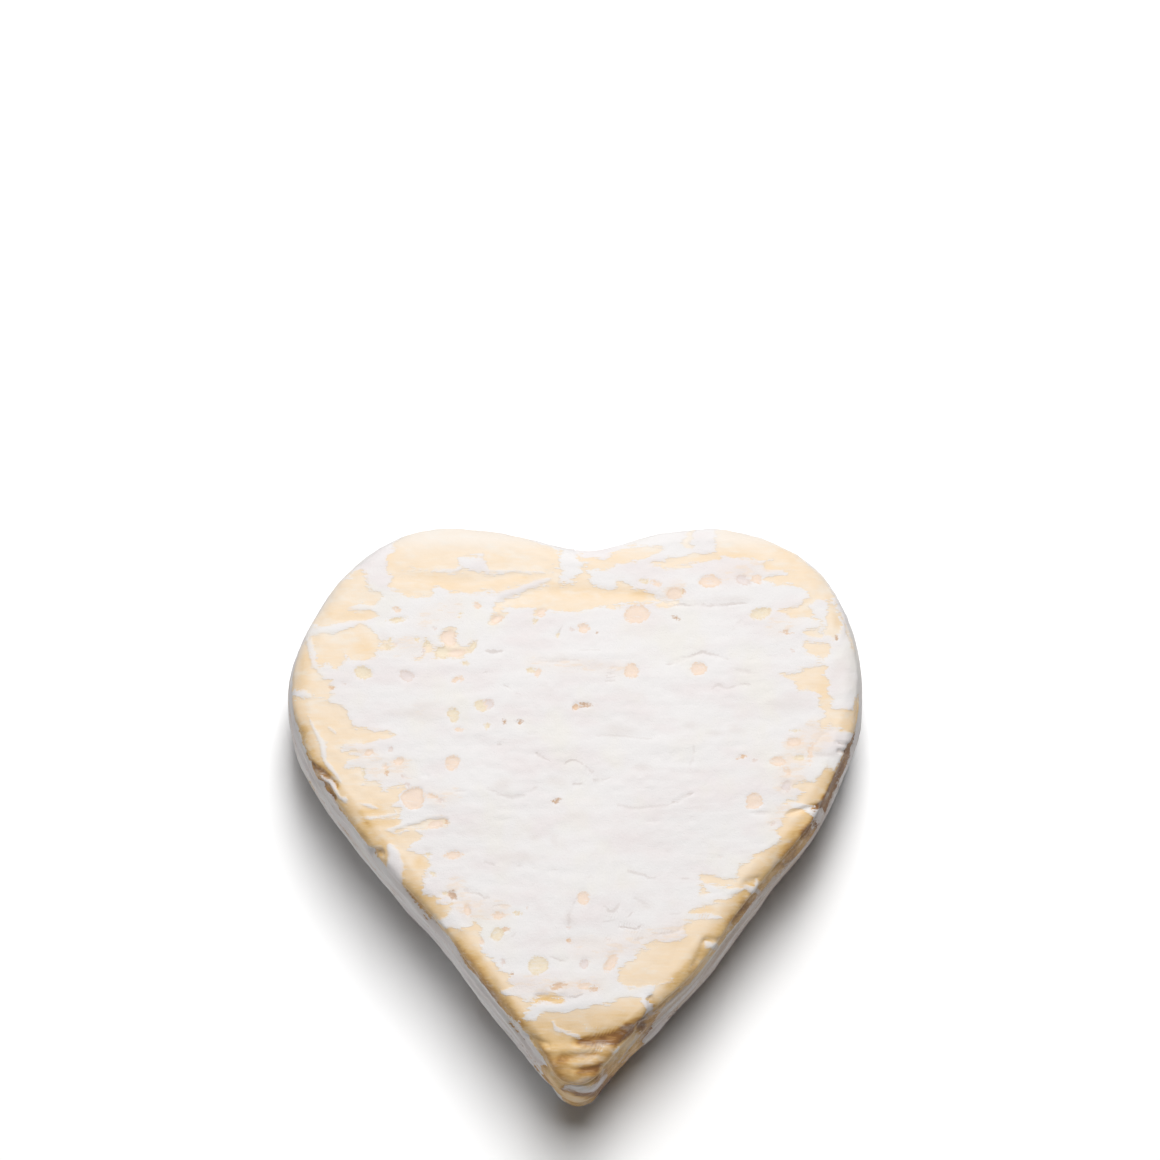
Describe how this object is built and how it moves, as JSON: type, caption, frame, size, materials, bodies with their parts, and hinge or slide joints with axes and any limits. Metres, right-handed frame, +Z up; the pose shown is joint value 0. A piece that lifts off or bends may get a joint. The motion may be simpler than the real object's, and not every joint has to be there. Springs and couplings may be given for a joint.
{
  "type": "heart-shaped soft cheese",
  "caption": "Heart-shaped soft-ripened cheese with a white-mould rind worn through to the yellow rind below, lying on its flat underside.",
  "frame": {"origin": "middle of the footprint, on the surface the cheese lies on", "axes": "+X from the left lobe to the right lobe, -Y towards the point of the heart, +Z up out of the top face"},
  "size_m": [0.1, 0.099, 0.032],
  "materials": {
    "rind": "velvety white mould, waxy where bare"
  },
  "bodies": {
    "root": {"cheese_heart": "rind"}
  },
  "joints": []
}
